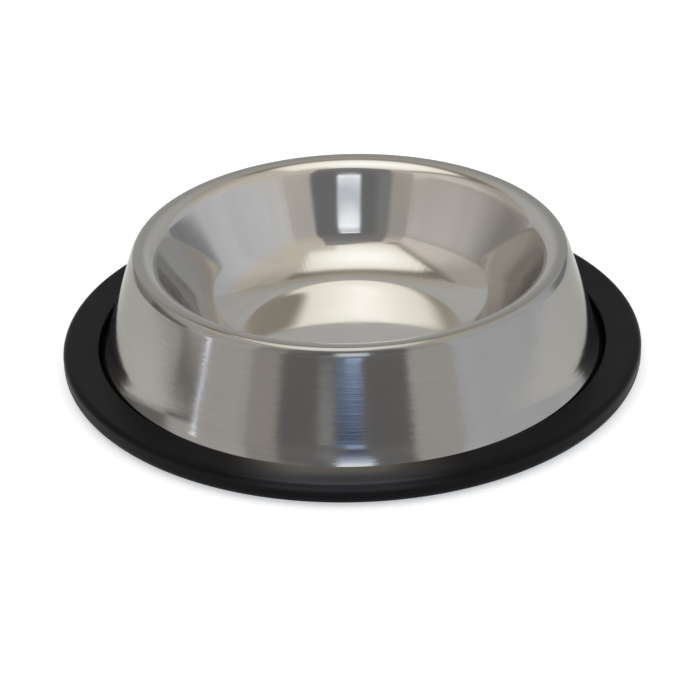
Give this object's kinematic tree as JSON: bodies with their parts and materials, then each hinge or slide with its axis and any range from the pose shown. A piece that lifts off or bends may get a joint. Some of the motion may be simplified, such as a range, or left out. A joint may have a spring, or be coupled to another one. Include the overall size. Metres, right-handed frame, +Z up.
{
  "type": "dog bowl",
  "caption": "Shallow round pet bowl of pressed stainless steel with a wide flared skirt, its foot held in a broad non-slip rubber ring.",
  "frame": {"origin": "centre of the ring's underside, on the surface that the bowl stands on", "axes": "+Z up along the axis of revolution; the part is round, and -Y points to the camera of the picture"},
  "size_m": [0.22, 0.22, 0.0465],
  "materials": {
    "stainless_steel": "mirror polish inside the dish and on the rim, fine horizontal brushing on the skirt",
    "rubber": "moulded, smooth, satin"
  },
  "bodies": {
    "root": {"steel_bowl": "stainless_steel", "rubber_ring": "rubber"}
  },
  "joints": []
}
